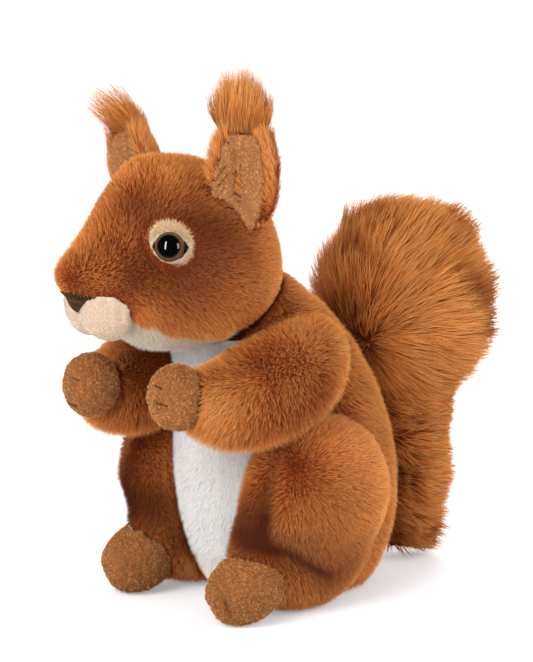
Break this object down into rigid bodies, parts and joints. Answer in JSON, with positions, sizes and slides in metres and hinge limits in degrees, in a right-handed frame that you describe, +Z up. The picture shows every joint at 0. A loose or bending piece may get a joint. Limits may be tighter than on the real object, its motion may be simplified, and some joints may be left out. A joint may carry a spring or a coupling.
{
  "type": "plush squirrel",
  "caption": "Sitting plush squirrel with upright bushy tail, tufted ears, domed eyes and paws held together, flat seat underneath.",
  "frame": {"origin": "centre of the flat seat under the torso, on the surface that the squirrel sits on", "axes": "+Z up, -Y the way the body faces, +X the squirrel's own left"},
  "size_m": [0.141, 0.2468, 0.2443],
  "materials": {
    "rust_plush": "dense rust-brown pile plush",
    "long_rust_plush": "long-haired rust-orange plush",
    "white_plush": "smooth off-white pile plush",
    "cream_plush": "cream pile plush",
    "tan_short_plush": "nubby tan short-pile plush",
    "muzzle_short_plush": "nubby pale short-pile plush",
    "ear_lining_plush": "nubby light brown short-pile plush",
    "black_felt": "black felt",
    "eye_plastic": "polished dark brown plastic with a black pupil",
    "washer_plastic": "plain pale moulded plastic"
  },
  "bodies": {
    "root": {"torso": "rust_plush", "belly_panel": "white_plush", "head": "rust_plush", "chin_panel": "cream_plush", "muzzle_pad_left": "muzzle_short_plush", "muzzle_pad_right": "muzzle_short_plush", "eye_patch_left": "cream_plush", "eye_patch_right": "cream_plush", "eye_felt_left": "black_felt", "eye_felt_right": "black_felt", "eye_left": "eye_plastic", "eye_right": "eye_plastic", "eye_washer_left": "washer_plastic", "eye_washer_right": "washer_plastic", "ear_left": "rust_plush", "ear_right": "rust_plush", "ear_lining_left": "ear_lining_plush", "ear_lining_right": "ear_lining_plush", "ear_tuft_left": "long_rust_plush", "ear_tuft_right": "long_rust_plush", "arm_left": "rust_plush", "arm_right": "rust_plush", "paw_left": "tan_short_plush", "paw_right": "tan_short_plush", "leg_left": "rust_plush", "leg_right": "rust_plush", "foot_left": "tan_short_plush", "foot_right": "tan_short_plush", "tail": "long_rust_plush"}
  },
  "joints": []
}
